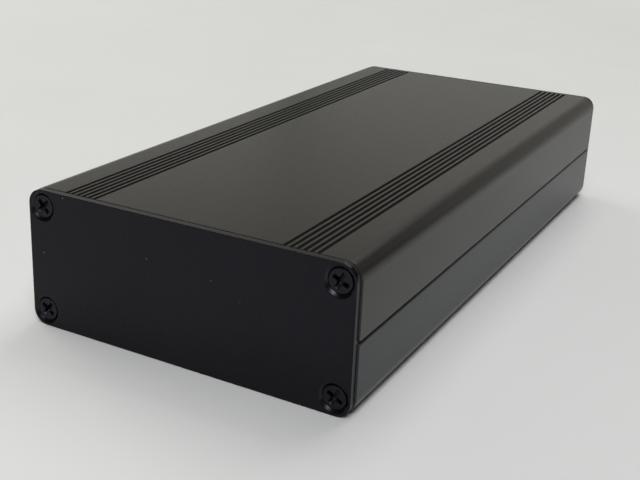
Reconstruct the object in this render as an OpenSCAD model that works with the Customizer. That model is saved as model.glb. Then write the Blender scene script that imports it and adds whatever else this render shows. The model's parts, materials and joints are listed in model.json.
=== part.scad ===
// Bench logic analyzer in a two-piece extruded aluminium case.
// Millimetres, +Z up. The origin is the centre of the case's flat underside.
// -Y is the blank end panel, +Y the connector panel.

/* [Case] */
// Width of the case
case_w = 64; // [63:0.5:72]
// Height of the case
case_h = 25.5; // [25.5:0.1:27]
// Length of the two extruded shells, without the end panels
shell_l = 130; // [110:1:160]
// Thickness of each end panel
panel_t = 1.5; // [1.4:0.05:1.6]
// Outer radius of the case's long corners
corner_r = 3; // [2.5:0.1:3.5]
// Thickness of the extruded walls
wall = 1.5; // [1.4:0.05:1.6]
// How far the end panels' sides lie inside the shells' sides
panel_inset_x = 0.3; // [0.1:0.05:0.3]
// How far the end panels' top and bottom lie inside the shells' top and bottom
panel_inset_z = 0.04; // [0.02:0.02:0.2]
// Width of the shadow line between each end panel and the shells
shadow_w = 0.15; // [0.15:0.05:0.35]

/* [Grip grooves] */
// Number of grooves in each band
groove_n = 6; // [2:1:8]
// Distance from one groove to the next
groove_pitch = 1.17; // [1:0.01:1.4]
// Width of a groove
groove_w = 0.65; // [0.5:0.05:0.8]
// Depth of a groove
groove_d = 0.6; // [0.3:0.05:0.8]
// Distance from the case's side to the centre of the first groove
groove_first = 7.65; // [7:0.05:9]

/* [Side joint] */
// Width of the line between the two shells
seam_gap = 0.35; // [0.2:0.05:0.4]
// Radius of the lower shell's edge at that line
seam_round = 0.45; // [0.2:0.05:0.5]
// Height of the tongue above the seam
tongue_h = 2; // [1.6:0.1:2.4]
// Clearance between tongue and upper wall
tongue_gap = 0.1; // [0.05:0.05:0.15]

/* [Screws] */
// Distance from the case's side to a screw's axis
screw_in_x = 3.2; // [3.1:0.05:3.4]
// Distance from the case's top or bottom to a screw's axis
screw_in_z = 3.05; // [3:0.05:3.2]
// Diameter of the screw's thread
screw_d = 2.5; // [2.4:0.05:2.6]
// Diameter of the screw's head
head_d = 4.1; // [4:0.05:4.3]
// Height of the straight rim below the head's face
head_rim = 0.25; // [0.1:0.05:0.3]
// Diameter of the countersink at the panel's face
sink_d = 5.3; // [5:0.05:5.3]
// Length of a screw
screw_l = 8; // [6:0.5:10]

/* [Connector panel] */
// Centre of the probe header
header_x = -8.7; // [-9:0.1:-8]
// Columns of pins in the probe header
header_cols = 8; // [5:1:8]
// Centre of the trigger button
button_x = 14.2; // [14:0.1:14.6]
// Travel of the trigger button
button_travel = 1; // [0.5:0.1:1]
// Centre of the USB socket
usb_x = 22.9; // [22.6:0.1:23.2]
// Swing of a header latch, in degrees
latch_swing = 28; // [15:1:28]

/* [Hidden] */
$fn = 64;
eps = 0.01;

// Main faces
half_l = shell_l / 2;
rear_face = half_l + panel_t;
seam_z = case_h / 2;
inner_x = case_w / 2 - wall;
inner_z = case_h - wall;
shadow_d = 0.35;

// Grip grooves: distance of each groove's centre from the case's side
groove_at = [for (i = [0 : groove_n - 1]) groove_first + i * groove_pitch];

// Side joint: the lower shell's tongue stands inside the upper shell's thinned wall
seam_low = seam_z - seam_gap / 2;
lip_t = 0.8;
tongue_t = 1.2;
tongue_x = case_w / 2 - lip_t - tongue_gap;
tongue_top = seam_z + tongue_h;
bead_out = 0.2;
bead_h = 0.8;
bead_z = tongue_top - 1.1;

// Screw channels
channel_r = screw_d / 2 - 0.12;
channel_wall = 1.05;
channel_slot = 1.2;
screw_x = case_w / 2 - screw_in_x;
screw_z = [screw_in_z, case_h - screw_in_z];
hole_r = screw_d / 2 + 0.1;
sink_r = sink_d / 2;
head_r = head_d / 2;
sink_play = 0.02;
head_sunk = sink_r - head_r - sink_play - head_rim;
recess_arm = 3;
recess_w = 0.78;
recess_depth = 1.1;
recess_floor_r = 0.95;
front_turns = [43, 63, 52, 58];
rear_turns = [12, 64, 35, 80];

// Board slots: ribs on the side walls
rib_t = 1;
rib_out = 1.5;
board_t = 1.6;
slot_play = 0.1;
board_z = 6;
board_side_play = 0.3;
board_end_play = 0.2;
board_top = board_z + board_t;
board_w = case_w - 2 * wall - 2 * board_side_play;
board_l = shell_l - 2 * board_end_play;

// Probe header, mouth towards +Y
pitch = 2.54;
pin_w = 0.64;
header_half = (header_cols - 1) * pitch / 2;
cavity_half = header_half + 3.71;
cheek_l = 4.4;
shroud_half = cavity_half + cheek_l;
shroud_h = 8.9;
cavity_h = 6.4;
header_z = board_top + shroud_h / 2;
mouth_y = rear_face + 0.4;
shroud_back = mouth_y - 9.2;
cavity_floor = mouth_y - 6.4;
key_w = 4.5;
pin_tip = mouth_y - 0.5;
bend_y = shroud_back - 1.5;
pin_below = 1.4;
pin_hole_r = 0.5;
solder_r = 0.85;
solder_h = 0.7;
cutout_play = 0.2;

// Header latches: each turns on two moulded stubs between the shroud's cheeks
latch_t = 3.5;
latch_play = 0.15;
pivot_u = cavity_half + 2.4;
pivot_y = mouth_y - 4.3;
stub_r = 0.75;
stub_l = 1.3;
pivot_play = 0.05;
arm_half = 1.1;
foot_y = pivot_y - 3.3;
arm_end = mouth_y + 8.9;
hook_y = mouth_y + 4.7;
hook_reach = cavity_half - 0.9;
foot_reach = cavity_half - 0.7;
foot_recess = cavity_half - 2;
latch_slot_back = shroud_back + 1.2;
arm_out = (rear_face - pivot_y + arm_half * sin(latch_swing)) * tan(latch_swing)
    + arm_half * cos(latch_swing);

// Trigger button and its switch
switch_w = 6;
switch_d = 4.5;
switch_h = 6.8;
switch_front = half_l - 3;
button_z = board_top + switch_h / 2;
stem_r = 1.25;
stem_play = 0.05;
cap_r = 1.75;
cap_play = 0.2;
cap_proud = 1.6;
cap_back = switch_front + button_travel + 0.2;
stem_in = 1.8;
socket_in = stem_in + button_travel + 0.2;

// USB socket, a flat oval shell around a thin tongue
usb_w = 8.94;
usb_h = 3.16;
usb_wall = 0.3;
usb_depth = 7.3;
usb_mouth = rear_face + 0.1;
usb_z = board_top + usb_h / 2;
tongue_w = 6.7;
tongue_thick = 0.7;
contact_n = 12;
contact_pitch = 0.5;
contact_w = 0.25;
contact_t = 0.06;

// Status lights: chips on the board, and clear pipes that reach the panel
light_pitch = 2.5;
light_x = [for (i = [-1 : 1]) usb_x + i * light_pitch];
light_y = half_l - 11;
light_z = board_top + 7;
pipe_r = 1;
pipe_proud = 0.5;
pipe_hole_r = 1.1;
led_size = [1.25, 2, 0.8];

// Leaded chips: length along X, length along Y, height, and place on the board
chip_lift = 0.1;
lead_t = 0.15;
logic_size = [10, 10, 1.4];
logic_at = [-6, 8];
memory_size = [22.2, 10.16, 1];
memory_at = [-6, -16];
usb_chip_size = [8, 8, 0.85];
usb_chip_at = [19, 30];
buffer_size = [6.5, 4.4, 1];
buffer_at = [[-14, 34], [-3, 34]];
config_size = [4.9, 3.9, 1.5];
config_at = [12, 8];
clamp_size = [2.9, 1.6, 1.1];
clamp_at = [for (i = [0 : 3]) [header_x - 9 + i * 6, 47]];
array_size = [3.2, 1.6, 0.55];
array_at = [for (i = [0 : 3]) [header_x - 9 + i * 6, 41.5]];
array_pitch = 0.8;
cap_size = [1.6, 0.8, 0.8];
cap_end = 0.3;
cap_at = concat(
    [for (s = [-1, 1], i = [-1 : 1]) [logic_at[0] + i * 4, logic_at[1] + s * 9]],
    [for (s = [-1, 1], i = [-1 : 1]) [memory_at[0] + i * 8, memory_at[1] + s * 9]],
    [for (i = [0 : 3]) [usb_chip_at[0] - 4.5 + i * 3, usb_chip_at[1] - 8]],
    [for (p = buffer_at) [p[0], p[1] - 5.5]]
);
bulk_size = [6, 3.2, 2.5];
bulk_at = [[18, -28], [18, -36]];
regulator_size = [6.5, 3.5, 1.6];
regulator_at = [[20, -6], [20, -18]];
inductor_size = [5, 5, 2.2];
inductor_at = [19, 16];
oscillator_size = [5, 3.2, 1.2];
oscillator_at = [7, 22];
service_pins_n = 5;
service_at = [-8, -44];
service_h = 2.5;
service_pin_up = 8.5;

// ---------- helpers ----------

// A box between two opposite corners
module box(low, high) {
    translate(low) cube(high - low);
}

// Sweeps an outline drawn in X and Z from one Y to another
module along_y(from, to) {
    translate([0, to, 0]) rotate([90, 0, 0]) linear_extrude(to - from) children();
}

// A rectangle with round corners, centred in X, with its lower edge at zero
module rounded(w, h, r) {
    translate([-w / 2, r]) square([w, h - 2 * r]);
    translate([r - w / 2, 0]) square([w - 2 * r, h]);
    for (x = [r - w / 2, w / 2 - r], z = [r, h - r]) translate([x, z]) circle(r);
}

// Repeats its children on the left and on the right
module both_sides() {
    for (side = [0, 1]) mirror([side, 0, 0]) children();
}

// Turns an outline of the lower half into one of the upper half
module upside_down() {
    translate([0, case_h]) mirror([0, 1]) children();
}

// ---------- case ----------

// The closed wall of the case, grooves cut in the lower face
module grooved_wall_outline() {
    difference() {
        rounded(case_w, case_h, corner_r);
        translate([0, wall]) rounded(case_w - 2 * wall, case_h - 2 * wall, corner_r - wall);
        both_sides() for (inset = groove_at)
            translate([case_w / 2 - inset - groove_w / 2, -eps]) square([groove_w, groove_d + eps]);
    }
}

// One board slot: two ribs on a side wall
module slot_ribs_outline() {
    for (z = [board_z - rib_t, board_top + slot_play])
        translate([inner_x - rib_out, z]) square([rib_out + eps, rib_t]);
}

// A screw channel in a corner, joined to the side wall and to the rib above it
module channel_outline() {
    translate([screw_x, screw_in_z]) {
        intersection() {
            circle(channel_r + channel_wall);
            translate([-5, -screw_in_z + wall / 2]) square([5 + screw_in_x - wall / 2, 10]);
        }
        square([screw_in_x - wall / 2, board_z - rib_t / 2 - screw_in_z]);
    }
}

// The channel's bore, and its slot towards the middle of the case
module channel_hole_outline() {
    translate([screw_x, screw_in_z]) {
        circle(channel_r);
        rotate(135) translate([0, -channel_slot / 2]) square([channel_r + channel_wall + 1, channel_slot]);
    }
}

// Lower half of the case without its side joint: wall, ribs and channels
module half_outline() {
    difference() {
        union() {
            intersection() {
                grooved_wall_outline();
                translate([-case_w / 2, 0]) square([case_w, seam_low]);
            }
            both_sides() {
                slot_ribs_outline();
                channel_outline();
            }
        }
        both_sides() channel_hole_outline();
    }
}

module tongue_outline() {
    translate([tongue_x - tongue_t, seam_z - 1.2]) square([tongue_t, tongue_h + 1.2]);
    translate([tongue_x - eps, bead_z]) square([bead_out + eps, bead_h]);
}

// Upper wall from the seam line up past the tongue, thinned on its inside
module lip_outline() {
    lip_low = seam_z + seam_gap / 2;
    difference() {
        translate([inner_x, lip_low]) square([wall, 4]);
        translate([inner_x - 1, lip_low - 1]) square([wall + 1 - lip_t, tongue_top - lip_low + 1]);
        translate([case_w / 2 - lip_t - eps, bead_z - 0.1]) square([bead_out + eps, bead_h + 0.2]);
    }
}

module top_shell() {
    color("dimgray") along_y(-half_l, half_l) {
        difference() {
            upside_down() half_outline();
            both_sides() translate([inner_x - 2, seam_z - 1]) square([wall + 3, 4]);
        }
        both_sides() lip_outline();
    }
}

// What rounds off the lower shell's edge at the seam
module seam_edge_outline() {
    translate([case_w / 2 - seam_round, seam_low - seam_round]) difference() {
        square(seam_round + eps);
        circle(seam_round);
    }
}

module bottom_shell() {
    color("dimgray") along_y(-half_l, half_l) {
        difference() {
            half_outline();
            both_sides() seam_edge_outline();
        }
        both_sides() tongue_outline();
    }
}

// An end panel's outline, or one this much further in
module panel_outline(further) {
    in_x = panel_inset_x + further;
    in_z = panel_inset_z + further;
    translate([0, in_z]) rounded(case_w - 2 * in_x, case_h - 2 * in_z, corner_r - in_x);
}

// An end panel lying on the XY plane, its outer face up and its back stepped for the shadow line
module flat_panel() {
    difference() {
        union() {
            linear_extrude(shadow_w + eps) panel_outline(shadow_d);
            translate([0, 0, shadow_w]) linear_extrude(panel_t - shadow_w) panel_outline(0);
        }
        for (x = [-screw_x, screw_x], z = screw_z) translate([x, z, 0]) {
            translate([0, 0, panel_t + hole_r - sink_r]) cylinder(h = sink_r - hole_r, r1 = hole_r, r2 = sink_r);
            translate([0, 0, -1]) cylinder(h = panel_t, r = hole_r);
            translate([0, 0, panel_t]) cylinder(h = 1, r = sink_r);
        }
    }
}

module front_panel() {
    color([0.12, 0.12, 0.13]) translate([0, -half_l, 0]) rotate([90, 0, 0]) flat_panel();
}

module rear_panel() {
    color([0.12, 0.12, 0.13]) difference() {
        translate([0, half_l, 0]) rotate([90, 0, 180]) flat_panel();
        header_cutout();
        usb_cutout();
        for (x = light_x) panel_bore(x, light_z, pipe_hole_r);
        panel_bore(button_x, button_z, cap_r + cap_play);
    }
}

// Cutting bodies for the connector panel run past both its faces
module panel_bore(x, z, r) {
    translate([x, half_l - 1, z]) rotate([-90, 0, 0]) cylinder(h = panel_t + 2, r = r);
}

module header_cutout() {
    out = shroud_half + cutout_play;
    notch = pivot_u + arm_out + 0.4;
    up = shroud_h / 2 + cutout_play;
    notch_up = latch_t / 2 + 0.4;
    box([header_x - out, half_l - 1, header_z - up], [header_x + out, rear_face + 1, header_z + up]);
    box([header_x - notch, half_l - 1, header_z - notch_up],
        [header_x + notch, rear_face + 1, header_z + notch_up]);
}

module usb_cutout() {
    play = 0.25;
    translate([usb_x, 0, usb_z - usb_h / 2 - play]) along_y(half_l - 1, rear_face + 1)
        rounded(usb_w + 2 * play, usb_h + 2 * play, usb_h / 2 + play - eps);
}

// A countersunk cross-recess screw, its head's face up at z = 0
module screw(turn) {
    cone_h = head_r - screw_d / 2;
    difference() {
        union() {
            translate([0, 0, -head_rim]) cylinder(h = head_rim, r = head_r);
            translate([0, 0, -head_rim - cone_h]) cylinder(h = cone_h, r1 = screw_d / 2, r2 = head_r);
            translate([0, 0, 1 - screw_l]) cylinder(h = screw_l - 1, r = screw_d / 2);
            translate([0, 0, -screw_l]) cylinder(h = 1, r1 = screw_d / 2 - 0.5, r2 = screw_d / 2);
        }
        rotate(turn) cross_recess();
    }
}

module cross_recess() {
    intersection() {
        union() for (a = [0, 90]) rotate(a) translate([-recess_arm / 2, -recess_w / 2, -recess_depth])
            cube([recess_arm, recess_w, recess_depth + 1]);
        translate([0, 0, -recess_depth])
            cylinder(h = recess_depth + 1, r1 = recess_floor_r,
                r2 = recess_floor_r + (recess_arm / 2 - recess_floor_r) * (recess_depth + 1) / recess_depth);
    }
}

// Four screws on the XY plane's corners, heads up, each turned by its own angle
module screw_set(turns) {
    for (i = [0 : 3])
        translate([(i % 2 == 0 ? -1 : 1) * screw_x, screw_z[i < 2 ? 1 : 0], panel_t - head_sunk])
            screw(turns[i]);
}

module front_screws() {
    color("black") translate([0, -half_l, 0]) rotate([90, 0, 0]) screw_set(front_turns);
}

module rear_screws() {
    color("black") translate([0, half_l, 0]) rotate([90, 0, 180]) screw_set(rear_turns);
}

// ---------- board and chips ----------

module pin_hole(x, y) {
    translate([x, y, board_z - 1]) cylinder(h = board_t + 2, r = pin_hole_r);
}

module main_board() {
    color("darkgreen") difference() {
        box([-board_w / 2, -board_l / 2, board_z], [board_w / 2, board_l / 2, board_top]);
        for (i = [0 : header_cols - 1], row = [0, 1]) pin_hole(header_pin_x(i), bend_y - row * pitch);
        for (i = [0 : service_pins_n - 1]) pin_hole(service_pin_x(i), service_at[1]);
    }
}

// A moulded package with a cut corner that marks its first pin
module package(size, at, lift) {
    half = [size[0] / 2, size[1] / 2];
    cut = 0.6;
    translate([at[0], at[1], board_top + lift]) linear_extrude(size[2]) polygon([
        [-half[0] + cut, -half[1]],
        [half[0], -half[1]],
        half,
        [-half[0], half[1]],
        [-half[0], -half[1] + cut]
    ]);
}

// One bent lead from a package's side at x = side, out and down to the board at z = 0
module gull_lead(side, reach, height, w) {
    knee = side + reach * 0.3;
    heel = side + reach * 0.5;
    foot = side + reach;
    rotate([90, 0, 0]) linear_extrude(w, center = true) polygon([
        [side, height - lead_t / 2],
        [side, height + lead_t / 2],
        [knee, height + lead_t / 2],
        [heel, lead_t],
        [foot, lead_t],
        [foot, 0],
        [heel - lead_t, 0],
        [knee - lead_t, height - lead_t / 2]
    ]);
}

// A row of leads along one side of a package, the side being 'half' from its centre
module lead_row(count, spacing, half, reach, height, w) {
    for (i = [0 : count - 1]) translate([0, (i - (count - 1) / 2) * spacing, 0])
        gull_lead(half, reach, height, w);
}

module leads_on(at, turns) {
    for (turn = turns) translate([at[0], at[1], board_top]) rotate(turn) children();
}

function lead_height(size) = chip_lift + size[2] / 2;

module logic_chip() {
    color([0.1, 0.1, 0.1]) package(logic_size, logic_at, chip_lift);
}

module logic_chip_leads() {
    color("silver") leads_on(logic_at, [0, 90, 180, 270])
        lead_row(16, 0.5, logic_size[0] / 2, 1, lead_height(logic_size), 0.22);
}

module memory_chip() {
    color([0.1, 0.1, 0.1]) package(memory_size, memory_at, chip_lift);
}

module memory_chip_leads() {
    color("silver") leads_on(memory_at, [90, 270])
        lead_row(27, 0.8, memory_size[1] / 2, 0.8, lead_height(memory_size), 0.35);
}

module usb_chip() {
    color([0.1, 0.1, 0.1]) package(usb_chip_size, usb_chip_at, 0);
}

module buffer_chips() {
    color([0.1, 0.1, 0.1]) for (at = buffer_at) package(buffer_size, at, chip_lift);
}

module buffer_chip_leads() {
    color("silver") for (at = buffer_at) leads_on(at, [90, 270])
        lead_row(10, 0.65, buffer_size[1] / 2, 1, lead_height(buffer_size), 0.25);
}

module config_chip() {
    color([0.1, 0.1, 0.1]) package(config_size, config_at, chip_lift);
}

module config_chip_leads() {
    color("silver") leads_on(config_at, [90, 270])
        lead_row(4, 1.27, config_size[1] / 2, 1.05, lead_height(config_size), 0.4);
}

module clamp_arrays() {
    color([0.1, 0.1, 0.1]) for (at = clamp_at) package(clamp_size, at, chip_lift);
}

module clamp_array_leads() {
    color("silver") for (at = clamp_at) leads_on(at, [90, 270])
        lead_row(3, 0.95, clamp_size[1] / 2, 0.6, lead_height(clamp_size), 0.35);
}

// A plain block standing on the board, centred on 'at'
module block_at(size, at) {
    translate([at[0] - size[0] / 2, at[1] - size[1] / 2, board_top]) cube(size);
}

module resistor_arrays() {
    body = [array_size[0], array_size[1] - 2 * cap_end, array_size[2]];
    color("black") for (at = array_at) block_at(body, at);
}

module ceramic_capacitors() {
    body = [cap_size[0] - 2 * cap_end, cap_size[1], cap_size[2]];
    color("tan") for (at = cap_at) block_at(body, at);
}

// Soldered ends of the capacitors and of the resistor arrays
module chip_terminals() {
    color("silver") {
        for (at = cap_at, side = [-1, 1])
            block_at([cap_end, cap_size[1], cap_size[2]], at + [side * (cap_size[0] - cap_end) / 2, 0]);
        for (at = array_at, side = [-1, 1], i = [0 : 3])
            block_at([array_pitch / 2, cap_end, array_size[2]],
                at + [(i - 1.5) * array_pitch, side * (array_size[1] - cap_end) / 2]);
    }
}

module bulk_capacitors() {
    color("goldenrod") for (at = bulk_at) translate([0, 0, chip_lift]) block_at(bulk_size, at);
}

module bulk_capacitor_tabs() {
    tab = [0.2, 2.2, 1.4];
    color("silver") for (at = bulk_at, side = [-1, 1])
        block_at(tab, at + [side * (bulk_size[0] + tab[0]) / 2, 0]);
}

module regulators() {
    color([0.1, 0.1, 0.1]) for (at = regulator_at) package(regulator_size, at, chip_lift);
}

module regulator_leads() {
    color("silver") for (at = regulator_at) {
        leads_on(at, [270]) lead_row(3, 2.3, regulator_size[1] / 2, 1.8, lead_height(regulator_size), 0.7);
        leads_on(at, [90]) lead_row(1, 1, regulator_size[1] / 2, 1.8, lead_height(regulator_size), 3);
    }
}

module power_inductor() {
    rim = 0.25;
    color([0.25, 0.25, 0.25]) difference() {
        block_at(inductor_size, inductor_at);
        translate([inductor_at[0], inductor_at[1], board_top + inductor_size[2] - 0.3]) difference() {
            cylinder(h = 1, r = inductor_size[0] / 2 - rim);
            translate([0, 0, -1]) cylinder(h = 3, r = inductor_size[0] / 2 - 2 * rim);
        }
    }
}

module clock_oscillator() {
    lid = [oscillator_size[0] - 0.8, oscillator_size[1] - 0.8, 0.4];
    color("silver") {
        block_at([oscillator_size[0], oscillator_size[1], oscillator_size[2] - lid[2]], oscillator_at);
        translate([0, 0, oscillator_size[2] - lid[2]]) block_at(lid, oscillator_at);
    }
}

function service_pin_x(i) = service_at[0] + (i - (service_pins_n - 1) / 2) * pitch;

module service_header() {
    color("black") difference() {
        block_at([service_pins_n * pitch, pitch, service_h], service_at);
        for (i = [0 : service_pins_n - 1]) translate([service_pin_x(i) - pin_w / 2, service_at[1] - pin_w / 2, 0])
            cube([pin_w, pin_w, 20]);
    }
}

// Solder under the board around a pin
module solder_cone(x, y) {
    translate([x, y, board_z - solder_h]) cylinder(h = solder_h, r1 = pin_w * 0.7, r2 = solder_r);
}

module service_pins() {
    y = service_at[1];
    color("gold") for (i = [0 : service_pins_n - 1]) {
        x = service_pin_x(i);
        box([x - pin_w / 2, y - pin_w / 2, board_z - pin_below],
            [x + pin_w / 2, y + pin_w / 2, board_top + service_pin_up]);
        solder_cone(x, y);
    }
}

// ---------- status lights ----------

module status_leds() {
    color("palegreen") for (x = light_x) block_at(led_size, [x, light_y]);
}

// Three clear rods, each fed by a column over its light, joined by a bridge on two legs
module light_pipes() {
    column_low = board_top + led_size[2] + 0.3;
    column_top = light_z + pipe_r;
    bridge_y = light_y + 3;
    color([0.85, 0.9, 0.9, 0.5]) {
        for (x = light_x) {
            translate([x, light_y + pipe_r - eps, light_z]) rotate([-90, 0, 0])
                cylinder(h = rear_face + pipe_proud - light_y - pipe_r + eps, r = pipe_r);
            translate([x, light_y, 0]) rotate([90, 0, 90]) linear_extrude(2 * pipe_r, center = true) polygon([
                [-pipe_r, column_low],
                [pipe_r, column_low],
                [pipe_r, column_top],
                [pipe_r - 0.2, column_top],
                [-pipe_r, column_top - 2 * pipe_r + 0.2]
            ]);
        }
        box([light_x[0], bridge_y - 0.8, light_z - 0.8], [light_x[2], bridge_y + 0.8, light_z + 0.8]);
        for (i = [0, 1]) box(
            [light_x[i] + light_pitch / 2 - 0.4, bridge_y - 0.8, board_top],
            [light_x[i] + light_pitch / 2 + 0.4, bridge_y + 0.8, light_z]
        );
    }
}

// ---------- USB socket ----------

module usb_oval(w, h) {
    rounded(w, h, h / 2 - eps);
}

module usb_shell() {
    back = usb_mouth - usb_depth;
    color("silver") translate([usb_x, 0, board_top]) {
        along_y(back + usb_wall, usb_mouth) difference() {
            usb_oval(usb_w, usb_h);
            translate([0, usb_wall]) usb_oval(usb_w - 2 * usb_wall, usb_h - 2 * usb_wall);
        }
        along_y(back, back + usb_wall) usb_oval(usb_w, usb_h);
        both_sides() for (y = [back + 1.2, back + 4.4])
            box([usb_w / 2 - usb_wall, y, 0], [usb_w / 2 + 0.5, y + 1.1, usb_h / 2]);
    }
}

module usb_tongue() {
    back = usb_mouth - usb_depth + usb_wall;
    color([0.1, 0.1, 0.1]) translate([usb_x, 0, usb_z]) {
        box([-tongue_w / 2, back, -tongue_thick / 2], [tongue_w / 2, usb_mouth - 0.6, tongue_thick / 2]);
        box([-tongue_w / 2, back, -1.2], [tongue_w / 2, back + 1.2, 1.2]);
    }
}

module usb_contacts() {
    color("gold") for (i = [0 : contact_n - 1], face = [-1, 1])
        translate([usb_x + (i - (contact_n - 1) / 2) * contact_pitch, usb_mouth - 3, usb_z])
            translate([0, 0, face * (tongue_thick + contact_t) / 2])
                cube([contact_w, 4, contact_t], center = true);
}

// ---------- probe header and latches ----------

function header_pin_x(i) = header_x - header_half + i * pitch;
function header_row_z(row) = header_z + (row - 0.5) * pitch;

module header_shroud() {
    color([0.1, 0.1, 0.1]) difference() {
        box([header_x - shroud_half, shroud_back, board_top],
            [header_x + shroud_half, mouth_y, board_top + shroud_h]);
        box([header_x - cavity_half, cavity_floor, header_z - cavity_h / 2],
            [header_x + cavity_half, mouth_y + 1, header_z + cavity_h / 2]);
        box([header_x - key_w / 2, cavity_floor, header_z],
            [header_x + key_w / 2, mouth_y + 1, board_top + shroud_h + 1]);
        for (i = [0 : header_cols - 1], row = [0, 1])
            translate([header_pin_x(i) - pin_w / 2, shroud_back - 1, header_row_z(row) - pin_w / 2])
                cube([pin_w, 10, pin_w]);
        translate([header_x, 0, 0]) both_sides() latch_slot();
    }
}

// Space in the shroud for a latch, and the two bores for its stubs
module latch_slot() {
    up = latch_t / 2 + latch_play;
    box([foot_recess, latch_slot_back, header_z - up], [shroud_half + 1, mouth_y + 1, header_z + up]);
    translate([pivot_u, pivot_y, header_z]) for (flip = [0, 1]) mirror([0, 0, flip])
        cylinder(h = up + stub_l, r = stub_r + pivot_play);
}

module header_pins() {
    color("gold") for (i = [0 : header_cols - 1], row = [0, 1]) {
        x = header_pin_x(i);
        y = bend_y - row * pitch;
        z = header_row_z(row);
        box([x - pin_w / 2, y - pin_w / 2, z - pin_w / 2], [x + pin_w / 2, pin_tip, z + pin_w / 2]);
        box([x - pin_w / 2, y - pin_w / 2, board_z - pin_below], [x + pin_w / 2, y + pin_w / 2, z]);
        solder_cone(x, y);
    }
}

// A latch on the +X side: foot under the plug, arm along it, hook over it, thumb pad at the end
module latch_outline() {
    inner = pivot_u - arm_half;
    outer = pivot_u + arm_half;
    polygon([
        [foot_reach, foot_y],
        [outer, foot_y],
        [outer, arm_end - 2.6],
        [outer + 1.9, arm_end - 1.2],
        [outer + 1.9, arm_end],
        [inner, arm_end],
        [hook_reach, hook_y + 1],
        [hook_reach, hook_y],
        [inner, hook_y - 0.4],
        [inner, foot_y + 1.4],
        [foot_reach, foot_y + 1.4]
    ]);
}

module latch() {
    translate([0, 0, header_z - latch_t / 2]) linear_extrude(latch_t) latch_outline();
    translate([pivot_u, pivot_y, header_z - latch_t / 2 - stub_l])
        cylinder(h = latch_t + 2 * stub_l, r = stub_r);
}

module latch_right() {
    color([0.1, 0.1, 0.1]) translate([header_x, 0, 0]) latch();
}

module latch_left() {
    color([0.1, 0.1, 0.1]) translate([header_x, 0, 0]) mirror([1, 0, 0]) latch();
}

// ---------- trigger button ----------

module switch_body() {
    color([0.1, 0.1, 0.1]) difference() {
        box([button_x - switch_w / 2, switch_front - switch_d, board_top],
            [button_x + switch_w / 2, switch_front, board_top + switch_h]);
        translate([button_x, switch_front - socket_in, button_z]) rotate([-90, 0, 0])
            cylinder(h = socket_in + 1, r = stem_r + stem_play);
    }
}

module trigger_button() {
    cap_end_y = rear_face + cap_proud;
    edge = 0.3;
    color([0.2, 0.2, 0.2]) translate([button_x, 0, button_z]) rotate([-90, 0, 0]) {
        translate([0, 0, switch_front - stem_in]) cylinder(h = cap_back - switch_front + stem_in + eps, r = stem_r);
        translate([0, 0, cap_back]) cylinder(h = cap_end_y - edge - cap_back, r = cap_r);
        translate([0, 0, cap_end_y - edge]) cylinder(h = edge, r1 = cap_r, r2 = cap_r - edge);
    }
}

top_shell();
bottom_shell();
front_panel();
rear_panel();
front_screws();
rear_screws();
main_board();
logic_chip();
logic_chip_leads();
memory_chip();
memory_chip_leads();
usb_chip();
buffer_chips();
buffer_chip_leads();
config_chip();
config_chip_leads();
clamp_arrays();
clamp_array_leads();
resistor_arrays();
ceramic_capacitors();
chip_terminals();
bulk_capacitors();
bulk_capacitor_tabs();
regulators();
regulator_leads();
power_inductor();
clock_oscillator();
status_leds();
light_pipes();
usb_shell();
usb_tongue();
usb_contacts();
header_shroud();
header_pins();
latch_left();
latch_right();
switch_body();
trigger_button();
service_header();
service_pins();
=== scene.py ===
"""Looks of the bench logic analyzer: dark anodised split case, black end plates and the connector panel.

Everything is in metres in the row frame: the origin is the centre of the case's flat underside,
-Y the blank end plate, +Y the connector panel, +Z up.
"""

import json
import math

import bmesh
import bpy
from mathutils import Matrix, Vector


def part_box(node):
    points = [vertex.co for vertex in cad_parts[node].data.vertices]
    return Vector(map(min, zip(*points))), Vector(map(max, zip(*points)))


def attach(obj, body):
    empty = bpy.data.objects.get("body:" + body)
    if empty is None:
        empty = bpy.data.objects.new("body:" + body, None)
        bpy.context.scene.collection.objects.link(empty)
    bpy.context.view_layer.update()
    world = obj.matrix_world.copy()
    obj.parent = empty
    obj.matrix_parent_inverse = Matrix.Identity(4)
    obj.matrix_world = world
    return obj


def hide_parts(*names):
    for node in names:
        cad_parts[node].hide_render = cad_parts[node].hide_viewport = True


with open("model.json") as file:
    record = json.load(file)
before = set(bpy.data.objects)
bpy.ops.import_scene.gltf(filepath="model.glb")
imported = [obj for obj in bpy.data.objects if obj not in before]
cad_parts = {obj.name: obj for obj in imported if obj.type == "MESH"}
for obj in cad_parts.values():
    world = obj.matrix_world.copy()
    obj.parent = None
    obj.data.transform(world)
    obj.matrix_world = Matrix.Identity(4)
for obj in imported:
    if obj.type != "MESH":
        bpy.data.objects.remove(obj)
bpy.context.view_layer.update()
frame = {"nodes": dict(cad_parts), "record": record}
nodes = frame["nodes"]
slot_of = {part["node"]: part["material_slot"] for part in frame["record"]["subparts"]}

MM = 0.001
CASE_SIDE, _, CASE_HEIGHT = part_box("top_shell")[1]
# A groove band's middle, measured from the case's middle, and half its width
GROOVE_BAND_MIDDLE = CASE_SIDE - 10.57 * MM
GROOVE_BAND_HALF = 3.25 * MM
COUNTERSINK_SLOPE = 0.707


# ---------- shader helpers ----------

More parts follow.
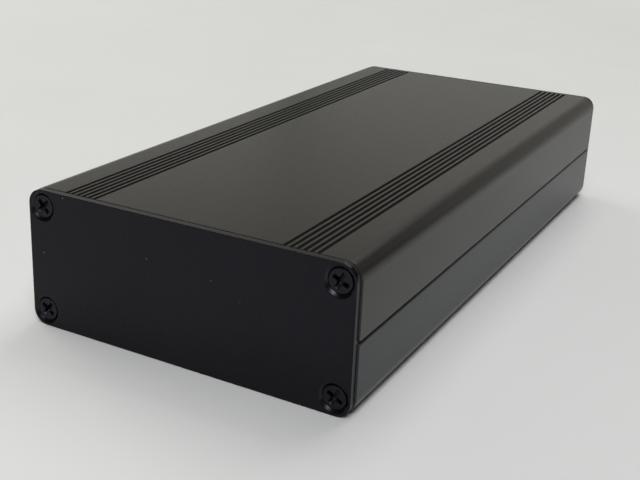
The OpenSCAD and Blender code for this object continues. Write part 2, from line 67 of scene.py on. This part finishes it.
class Surface:
    """One material under construction: a Principled shader and the nodes that feed it."""

    def __init__(self, name, **shader_values):
        self.material = bpy.data.materials.new(name)
        self.material.use_nodes = True
        self.tree = self.material.node_tree
        self.shader = self.tree.nodes["Principled BSDF"]
        self.place = self.node("ShaderNodeTexCoord").outputs["Object"]
        self.use(**shader_values)

    def node(self, kind, settings=None, **inputs):
        """Adds a node, sets its properties, and sets or links its inputs."""
        made = self.tree.nodes.new(kind)
        for key, value in (settings or {}).items():
            setattr(made, key, value)
        for key, value in inputs.items():
            self.feed(made.inputs[key.replace("_", " ")], value)
        return made

    def feed(self, socket, value):
        """Links an output to an input, or sets the input to a plain value."""
        if isinstance(value, bpy.types.NodeSocket):
            self.tree.links.new(value, socket)
        else:
            socket.default_value = value

    def use(self, **shader_values):
        """Sets or links inputs of the Principled shader."""
        for key, value in shader_values.items():
            self.feed(self.shader.inputs[key.replace("_", " ")], value)

    def maths(self, operation, *values):
        made = self.node("ShaderNodeMath", {"operation": operation})
        for socket, value in zip(made.inputs, values):
            self.feed(socket, value)
        return made.outputs["Value"]

    def away_from(self, value, middle):
        """The distance between a value and a middle, never below zero."""
        return self.maths("ABSOLUTE", self.maths("SUBTRACT", value, middle))

    def along(self, axis):
        """The object coordinate along an axis."""
        return self.node("ShaderNodeSeparateXYZ", Vector=self.place).outputs[axis]

    def facing(self, axis):
        """How squarely the face looks along an axis, from 0 to 1."""
        normal = self.node("ShaderNodeNewGeometry").outputs["True Normal"]
        return self.maths("ABSOLUTE", self.node("ShaderNodeSeparateXYZ", Vector=normal).outputs[axis])

    def stretched(self, scale):
        """Object coordinates scaled by a vector, for streaks."""
        return self.node("ShaderNodeMapping", Vector=self.place, Scale=scale).outputs["Vector"]

    def noise(self, size, detail=2.0, roughness=0.5, place=None):
        """Noise from 0 to 1 whose blotches are about this size, in metres."""
        made = self.node("ShaderNodeTexNoise", Scale=1 / size, Detail=detail, Roughness=roughness)
        self.feed(made.inputs["Vector"], place or self.place)
        return made.outputs["Fac"]

    def spread(self, value, low, high, from_low=0.3, from_high=0.7):
        """Maps a value's usual range to another range."""
        made = self.node("ShaderNodeMapRange", Value=value)
        ends = {"From Min": from_low, "From Max": from_high, "To Min": low, "To Max": high}
        for key, number in ends.items():
            made.inputs[key].default_value = number
        return made.outputs["Result"]

    def mix(self, share, first, second):
        """Mixes two colours: the share is that of the second."""
        made = self.node("ShaderNodeMix", {"data_type": "RGBA"}, Factor=share)
        for socket, value in ((made.inputs[6], first), (made.inputs[7], second)):
            self.feed(socket, value)
        return made.outputs[2]

    def bump(self, height, depth, below=None):
        """Tilts the normal by a height map, depth metres from its lowest to its highest point."""
        made = self.node("ShaderNodeBump", Strength=1.0, Distance=depth, Height=height)
        if below:
            self.feed(made.inputs["Normal"], below)
        self.use(Normal=made.outputs["Normal"])
        return made.outputs["Normal"]

    def edges(self, radius):
        """1 on convex and concave edges, 0 on flat faces."""
        rounded = self.node("ShaderNodeBevel", {"samples": 6}, Radius=radius).outputs["Normal"]
        true = self.node("ShaderNodeNewGeometry").outputs["Normal"]
        dot = self.node("ShaderNodeVectorMath", {"operation": "DOT_PRODUCT"})
        self.feed(dot.inputs[0], rounded)
        self.feed(dot.inputs[1], true)
        return self.spread(self.maths("SUBTRACT", 1.0, dot.outputs["Value"]), 0, 1, 0.02, 0.35)

    def worn_edges(self, radius, patches, *patch_range):
        """Edges rubbed in patches; patch_range is the least and most wear, and the noise values it spans."""
        return self.maths("MULTIPLY", self.edges(radius), self.spread(patches, *patch_range))


def grey(level, warmth=0.0):
    """A grey in linear light, a little redder where warmth is above zero."""
    return (level * (1 + warmth), level, level * (1 - warmth), 1)


def tinted(colour, factor):
    return tuple(channel * factor for channel in colour[:3]) + (1,)


def rubbed(colour, share=0.3, mid_grey=0.5):
    """A colour moved part of the way to mid grey."""
    return tuple((1 - share) * channel + share * mid_grey for channel in colour[:3]) + (1,)


# ---------- materials ----------

def blasted_blend(look, grain):
    """Streaks along the extrusion, broad clouds and fine grain in one value."""
    streaks = look.noise(1, 3, place=look.stretched((420, 9, 420)))
    clouds = look.noise(14 * MM, 2)
    blend = look.maths("ADD", look.maths("MULTIPLY", streaks, 0.3), look.maths("MULTIPLY", clouds, 0.25))
    return look.maths("ADD", blend, look.maths("MULTIPLY", grain, 0.45))


def groove_painted_fill(look):
    """Where paler colour is painted inside the groove bands, below the grooved faces: painted light that
    lifts the shade in the grooves.
    """
    from_middle = look.away_from(look.maths("ABSOLUTE", look.along("X")), GROOVE_BAND_MIDDLE)
    in_band = look.spread(from_middle, 1, 0, GROOVE_BAND_HALF, GROOVE_BAND_HALF + 0.1 * MM)
    half = CASE_HEIGHT / 2
    below_face = look.spread(look.away_from(look.along("Z"), half), 1, 0, half - 0.15 * MM, half - 0.03 * MM)
    patchy = look.spread(look.noise(0.5 * MM, 3), 0.7, 1.0)
    return look.maths("MULTIPLY", look.maths("MULTIPLY", in_band, below_face), patchy)


def anodised_shell(name, warmth):
    """Bead-blasted extrusion: fine grain, streaks and worn edges, plus painted light: paler colour inside
    the grooves and on the saw-cut ends, which lifts their shade.
    """
    look = Surface(name, Specular_IOR_Level=0.40, Specular_Tint=grey(1.0, warmth))
    grain = look.noise(0.28 * MM, 2, 0.6)
    blend = look.spread(blasted_blend(look, grain), 0, 1, 0.35, 0.65)
    colour = look.mix(blend, grey(0.004, warmth), grey(0.008, warmth))
    # Paler colour inside the grooves: painted light that lifts the shade in the grooves
    colour = look.mix(groove_painted_fill(look), colour, grey(0.045, warmth + 0.05))
    # Paler colour on the saw-cut end faces: painted light that lifts the shade in the joints between the
    # shells and the end plates
    end_face_painted_light = look.spread(look.facing("Y"), 0, 1, 0.8, 0.95)
    colour = look.mix(end_face_painted_light, colour, grey(0.05, warmth))
    wear = look.worn_edges(0.15 * MM, look.noise(1.6 * MM, 4), 0.0, 0.5, 0.45, 0.75)
    look.use(Base_Color=look.mix(wear, colour, grey(0.12)))
    look.use(Roughness=look.spread(look.noise(0.4 * MM, 3), 0.29, 0.37))
    mottle = look.noise(0.9 * MM, 2, 0.6)
    look.bump(grain, 0.012 * MM, below=look.bump(mottle, 0.008 * MM))
    return look.material


def dust_specks(look):
    """Small round specks, present only in some patches."""
    cells = look.node("ShaderNodeTexVoronoi", Vector=look.place, Scale=1 / (3.5 * MM), Randomness=1.0)
    speck = look.spread(cells.outputs["Distance"], 1, 0, 0.02, 0.045)
    return look.maths("MULTIPLY", speck, look.spread(look.noise(9 * MM, 1), 0, 1, 0.49, 0.55))


def anodised_panel():
    """Flat black plate: satin film, pale dust specks, machined countersinks and nicks along its edges."""
    look = Surface("anodised_panel", Specular_IOR_Level=0.2, Specular_Tint=(0.98, 0.92, 1.15, 1))
    clouds = look.noise(20 * MM, 3)
    colour = look.mix(look.spread(clouds, 0, 1), (0.0032, 0.0030, 0.0040, 1), (0.0055, 0.0050, 0.0066, 1))
    colour = look.mix(dust_specks(look), colour, grey(0.16))
    machined = look.spread(look.away_from(look.facing("Y"), COUNTERSINK_SLOPE), 1, 0, 0.04, 0.12)
    colour = look.mix(machined, colour, (0.028, 0.031, 0.037, 1))
    wear = look.worn_edges(0.12 * MM, look.noise(1.2 * MM, 4), 0.02, 0.6, 0.5, 0.7)
    look.use(Base_Color=look.mix(wear, colour, grey(0.12)), Metallic=look.maths("MULTIPLY", machined, 0.9))
    film = look.spread(look.noise(0.5 * MM, 3), 0.22, 0.30)
    look.use(Roughness=look.mix(machined, film, grey(0.30)))
    look.bump(look.noise(0.22 * MM, 2, 0.6), 0.004 * MM)
    return look.material


def black_screw():
    """Black oxide on steel, rubbed bright on the recess and rim edges."""
    look = Surface("black_screw", Metallic=0.6, Specular_IOR_Level=0.5)
    blotches = look.noise(0.5 * MM, 3)
    colour = look.mix(look.spread(blotches, 0, 1), (0.006, 0.0054, 0.0085, 1), (0.011, 0.0100, 0.0150, 1))
    wear = look.worn_edges(0.08 * MM, blotches, 0.1, 0.8)
    look.use(Base_Color=look.mix(wear, colour, grey(0.2)))
    look.use(Roughness=look.spread(look.noise(0.3 * MM, 3), 0.28, 0.42))
    look.bump(look.noise(0.12 * MM, 2), 0.006 * MM)
    return look.material


def moulded(name, colour, roughness, depth=0.01 * MM, **shader_values):
    """Moulded plastic, resin or ceramic with a fine surface texture and slightly rubbed edges."""
    look = Surface(name, **shader_values)
    texture = look.noise(0.25 * MM, 3)
    base = look.mix(look.spread(look.noise(6 * MM, 3), 0, 1), tinted(colour, 0.85), tinted(colour, 1.15))
    wear = look.maths("MULTIPLY", look.edges(0.1 * MM), 0.35)
    look.use(Base_Color=look.mix(wear, base, rubbed(colour)))
    look.use(Roughness=look.spread(texture, roughness - 0.06, roughness + 0.06))
    look.bump(texture, depth)
    return look.material


def metal(name, colour, roughness):
    """Plated metal with fine scratches and duller patches."""
    look = Surface(name, Metallic=1.0)
    patches = look.noise(1.5 * MM, 4)
    look.use(Base_Color=look.mix(look.spread(patches, 0, 1), tinted(colour, 0.86), tinted(colour, 1.06)))
    look.use(Roughness=look.spread(patches, roughness + 0.08, roughness - 0.05))
    look.bump(look.noise(0.15 * MM, 3), 0.004 * MM)
    return look.material


def circuit_board():
    """Green solder mask: the copper under it shows as paler tracks."""
    look = Surface("circuit_board", Specular_IOR_Level=0.5, Coat_Weight=0.3, Coat_Roughness=0.15)
    cells = look.node("ShaderNodeTexBrick", Vector=look.place, Scale=1.0, Brick_Width=9 * MM,
                      Row_Height=0.8 * MM, Mortar_Size=0.15 * MM)
    routed = look.spread(look.noise(12 * MM, 1), 0, 1, 0.45, 0.5)
    tracks = look.maths("MULTIPLY", cells.outputs["Fac"], routed)
    look.use(Base_Color=look.mix(tracks, (0.008, 0.07, 0.028, 1), (0.012, 0.13, 0.05, 1)))
    look.use(Roughness=look.spread(look.noise(0.5 * MM, 3), 0.25, 0.4))
    look.bump(tracks, 0.02 * MM)
    return look.material


def clear_plastic():
    """Clear moulded acrylic, faintly frosted."""
    look = Surface("clear_plastic", Transmission_Weight=0.85, IOR=1.49)
    frost = look.noise(0.3 * MM, 3)
    look.use(Base_Color=look.mix(look.spread(frost, 0, 1), (0.86, 0.90, 0.90, 1), (0.95, 0.97, 0.97, 1)))
    look.use(Roughness=look.spread(frost, 0.12, 0.28))
    look.bump(frost, 0.004 * MM)
    return look.material


def floor_surface():
    """Pale smooth table top that glows softly far from the case, like a lit studio sweep."""
    look = Surface("floor_surface", Specular_IOR_Level=0.3)
    clouds = look.spread(look.noise(60 * MM, 2), 0, 1)
    look.use(Base_Color=look.mix(clouds, (0.91, 0.91, 0.90, 1), (0.93, 0.93, 0.92, 1)))
    look.use(Roughness=look.spread(look.noise(3 * MM, 2), 0.5, 0.6))
    look.bump(look.noise(0.6 * MM, 3), 0.01 * MM)
    distance = look.node("ShaderNodeVectorMath", {"operation": "LENGTH"}, Vector=look.place)
    glow = look.spread(distance.outputs["Value"], 0, 0.6, 0.42, 1.25)
    look.use(Emission_Color=grey(1.0), Emission_Strength=glow)
    return look.material


MATERIALS = {
    "anodised_shell": anodised_shell("anodised_shell", 0.06),
    "anodised_panel": anodised_panel(),
    "black_screw": black_screw(),
    "circuit_board": circuit_board(),
    "chip_epoxy": moulded("chip_epoxy", grey(0.012), 0.5),
    "tinned_lead": metal("tinned_lead", (0.62, 0.62, 0.60, 1), 0.3),
    "resistor_glaze": moulded("resistor_glaze", grey(0.015), 0.25),
    "ceramic": moulded("ceramic", (0.36, 0.23, 0.12, 1), 0.45),
    "tantalum_case": moulded("tantalum_case", (0.62, 0.34, 0.03, 1), 0.35),
    "ferrite": moulded("ferrite", grey(0.05), 0.7, depth=0.03 * MM),
    "oscillator_lid": metal("oscillator_lid", (0.66, 0.63, 0.55, 1), 0.32),
    "led_lens": moulded("led_lens", (0.60, 0.72, 0.45, 1), 0.3, Subsurface_Weight=0.2),
    "clear_plastic": clear_plastic(),
    "connector_steel": metal("connector_steel", (0.62, 0.62, 0.62, 1), 0.26),
    "connector_plastic": moulded("connector_plastic", grey(0.012), 0.55),
    "gold_contact": metal("gold_contact", (0.80, 0.55, 0.20, 1), 0.22),
    "latch_plastic": moulded("latch_plastic", grey(0.014), 0.5),
    "button_plastic": moulded("button_plastic", grey(0.05), 0.48),
}
# The lower shell is slightly cooler in colour than the upper one
OWN_MATERIALS = {"bottom_shell": anodised_shell("anodised_shell_lower", -0.08)}


# ---------- pieces ----------

WELD_DISTANCE = 0.002 * MM
FLAT_ANGLE = math.radians(0.6)
SHARP_ANGLE = math.radians(30)

# node: the name and body of the piece that stands for it, and the edge width to aim for in millimetres.
# Where sharp edges lie close together, the bevel narrows all of that piece's edges so that none overlap.
REFINED = {
    "top_shell": ("case_top", "case", 0.06),
    "bottom_shell": ("case_bottom", "case", 0.06),
    "front_panel": ("blank_end_plate", "case", 0.07),
    "rear_panel": ("connector_end_plate", "case", 0.07),
    "front_screws": ("blank_end_screws", "case", 0.17),
    "rear_screws": ("connector_end_screws", "case", 0.17),
    "header_shroud": ("probe_header_shroud", "case", 0.12),
    "latch_left": ("left_latch_arm", "left_latch", 0.15),
    "latch_right": ("right_latch_arm", "right_latch", 0.15),
    "usb_shell": ("usb_socket_shell", "case", 0.05),
    "trigger_button": ("trigger_button_cap", "button", 0.15),
    "light_pipes": ("light_pipe_ends", "case", 0.1),
}


def rounded_copy(mesh, name, edge):
    """A mesh's copy with its triangles merged and its sharp edges rounded as far as they have room."""
    shape = bmesh.new()
    shape.from_mesh(mesh)
    bmesh.ops.remove_doubles(shape, verts=shape.verts, dist=WELD_DISTANCE)
    bmesh.ops.dissolve_limit(shape, angle_limit=FLAT_ANGLE, verts=shape.verts, edges=shape.edges)
    sharp = [e for e in shape.edges if e.is_manifold and e.calc_face_angle() > SHARP_ANGLE]
    bmesh.ops.bevel(shape, geom=sharp, offset=edge, offset_type="OFFSET", segments=2, profile=0.5,
                    affect="EDGES", clamp_overlap=True)
    for face in shape.faces:
        face.smooth = True
    copy = bpy.data.meshes.new(name)
    shape.to_mesh(copy)
    shape.free()
    return copy


def add_refined(node, name, body, edge):
    """A piece with rounded edges that stands for a CAD node."""
    piece = bpy.data.objects.new(name, rounded_copy(nodes[node].data, name, edge))
    bpy.context.scene.collection.objects.link(piece)
    piece.modifiers.new("even_shading", "WEIGHTED_NORMAL").keep_sharp = True
    piece.data.materials.append(OWN_MATERIALS.get(node, MATERIALS[slot_of[node]]))
    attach(piece, body)
    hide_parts(node)


def dress_node(node):
    """Gives a CAD node that stays visible the material of its slot."""
    nodes[node].data.materials.clear()
    nodes[node].data.materials.append(MATERIALS[slot_of[node]])


for node, (name, body, edge) in REFINED.items():
    add_refined(node, name, body, edge * MM)
for node in slot_of:
    if node not in REFINED:
        dress_node(node)


# ---------- floor, light and camera ----------

def add_floor(reach=3.0):
    """A square floor at the height of the case's underside."""
    corners = [(-reach, -reach, 0), (reach, -reach, 0), (reach, reach, 0), (-reach, reach, 0)]
    mesh = bpy.data.meshes.new("floor")
    mesh.from_pydata(corners, [], [(0, 1, 2, 3)])
    mesh.materials.append(floor_surface())
    floor = bpy.data.objects.new("floor", mesh)
    bpy.context.scene.collection.objects.link(floor)


def add_softbox(name, azimuth, elevation, distance, size, power, colour):
    """A square area light aimed at the case; the azimuth turns from +Y towards +X."""
    turn, rise = math.radians(azimuth), math.radians(elevation)
    towards = Vector((math.sin(turn) * math.cos(rise), math.cos(turn) * math.cos(rise), math.sin(rise)))
    aim = Vector((0, 0, 10 * MM))
    lamp = bpy.data.lights.new(name, "AREA")
    lamp.shape = "SQUARE"
    lamp.size = size
    lamp.energy = power
    lamp.color = colour
    holder = bpy.data.objects.new(name, lamp)
    bpy.context.scene.collection.objects.link(holder)
    holder.location = towards * distance
    holder.rotation_mode = "QUATERNION"
    holder.rotation_quaternion = (aim - holder.location).to_track_quat("-Z", "Y")


def add_world(fill, backdrop):
    """A weak fill light from all round; seen directly, it is a pale backdrop that meets the far floor."""
    world = bpy.data.worlds.new("studio")
    bpy.context.scene.world = world
    world.use_nodes = True
    tree = world.node_tree
    back = tree.nodes["Background"]
    back.inputs["Color"].default_value = (1, 1, 1, 1)
    level = tree.nodes.new("ShaderNodeMapRange")
    level.inputs["To Min"].default_value = fill
    level.inputs["To Max"].default_value = backdrop
    tree.links.new(tree.nodes.new("ShaderNodeLightPath").outputs["Is Camera Ray"], level.inputs["Value"])
    tree.links.new(level.outputs["Result"], back.inputs["Strength"])


def add_camera():
    """The reference view: from the front right, a little above, with a slight roll."""
    place = Vector((0.0912, -0.1940, 0.0833))
    yaw, pitch, roll = (math.radians(angle) for angle in (28.91, 19.46, 2.14))
    lens = bpy.data.cameras.new("camera")
    lens.lens = 58.95
    lens.sensor_width = 36
    lens.shift_x = 0.04
    lens.shift_y = -0.045
    lens.clip_start = 0.01
    lens.clip_end = 20
    camera = bpy.data.objects.new("camera", lens)
    bpy.context.scene.collection.objects.link(camera)
    tilt = Matrix.Rotation(math.pi / 2 - pitch, 4, "X") @ Matrix.Rotation(roll, 4, "Z")
    camera.matrix_world = Matrix.Translation(place) @ Matrix.Rotation(yaw, 4, "Z") @ tilt
    bpy.context.scene.camera = camera


WARM = (1.03, 1.02, 0.93)
NEUTRAL = (1.0, 1.0, 0.98)
COOL = (0.97, 0.98, 1.0)
# name: azimuth and elevation in degrees, distance and size in metres, power in watts, colour
SOFTBOXES = {
    "overhead": (0, 90, 1.2, 1.0, 2.6, NEUTRAL),
    "back_high": (0, 55, 1.2, 0.7, 3.2, NEUTRAL),
    "left_low": (285, 12, 1.2, 0.6, 6.9, WARM),
    "back_low_left": (315, 12, 1.2, 0.6, 0.7, WARM),
    "back_low": (345, 12, 1.2, 0.6, 0.62, WARM),
    "back_low_right": (15, 12, 1.2, 0.6, 0.5, WARM),
    "front_lamp": (153, 52, 1.0, 0.42, 4.3, COOL),
}

add_floor()
add_world(fill=0.026, backdrop=0.68)
for name, settings in SOFTBOXES.items():
    add_softbox(name, *settings)
add_camera()
bpy.context.scene.view_settings.view_transform = "Standard"
